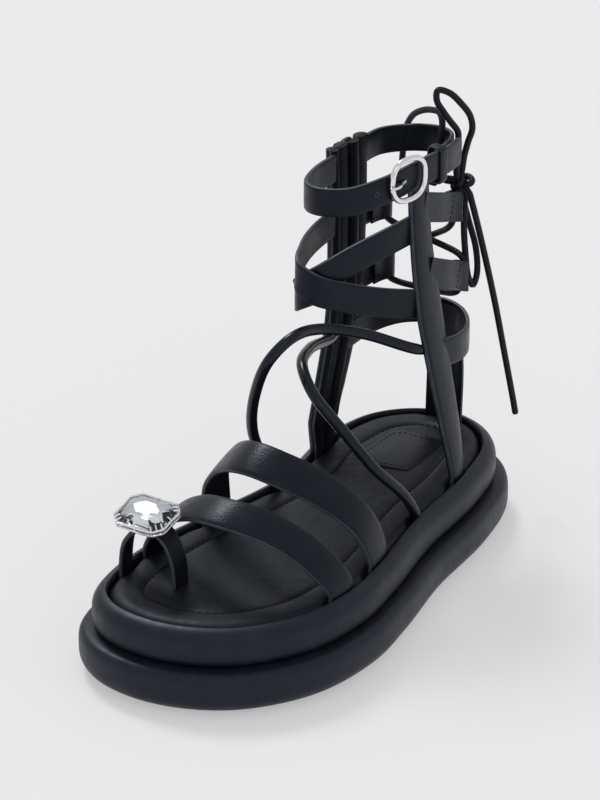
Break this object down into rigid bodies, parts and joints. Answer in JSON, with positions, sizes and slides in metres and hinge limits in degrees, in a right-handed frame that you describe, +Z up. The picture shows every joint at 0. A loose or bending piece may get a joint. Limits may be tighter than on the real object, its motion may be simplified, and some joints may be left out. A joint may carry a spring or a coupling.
{
  "type": "gladiator sandal",
  "caption": "Left gladiator platform sandal: padded footbed, forefoot straps, jewelled toe loop, and an ankle cage of flat straps with side zip, buckle and back lace.",
  "frame": {"origin": "on the ground plane, at the middle of the sole's length and width", "axes": "+X from heel to toe, +Y to the lateral side, +Z up"},
  "size_m": [0.2698, 0.1187, 0.2049],
  "materials": {
    "outsole_rubber": "matt",
    "platform_wrap": "smooth satin",
    "footbed_cover": "soft satin",
    "strap_leather": "fine grain, satin",
    "lace_cord": "waxed",
    "silver_metal": "polished",
    "gem_crystal": "clear, cut",
    "zip_plastic": "satin",
    "zip_metal": "satin black",
    "pull_tab": "satin, with a grey tip"
  },
  "bodies": {
    "shoe": {"outsole": "outsole_rubber", "lower_roll": "platform_wrap", "upper_roll": "platform_wrap", "footbed": "footbed_cover", "front_strap": "strap_leather", "instep_strap": "strap_leather", "toe_loop": "strap_leather", "gem_setting": "silver_metal", "gem": "gem_crystal", "ankle_cage": "strap_leather", "buckle_frame": "silver_metal", "buckle_prong": "silver_metal", "keeper": "strap_leather", "zip_teeth": "zip_plastic", "zip_slider": "zip_metal", "rivet_upper": "silver_metal", "rivet_lower": "silver_metal", "lace_crossings": "lace_cord", "lace_knot": "lace_cord", "lace_loop_up": "lace_cord", "lace_loop_down": "lace_cord", "lace_tail_long": "lace_cord", "lace_tail_short": "lace_cord"},
    "pull": {"zip_pull": "pull_tab"}
  },
  "joints": [
    {"name": "zip_pull_hinge", "type": "hinge", "parent": "shoe", "child": "pull", "pos_m": [-0.0765, -0.0438, 0.176], "axis": [-1, 0, 0], "range_deg": [0, 150]}
  ]
}
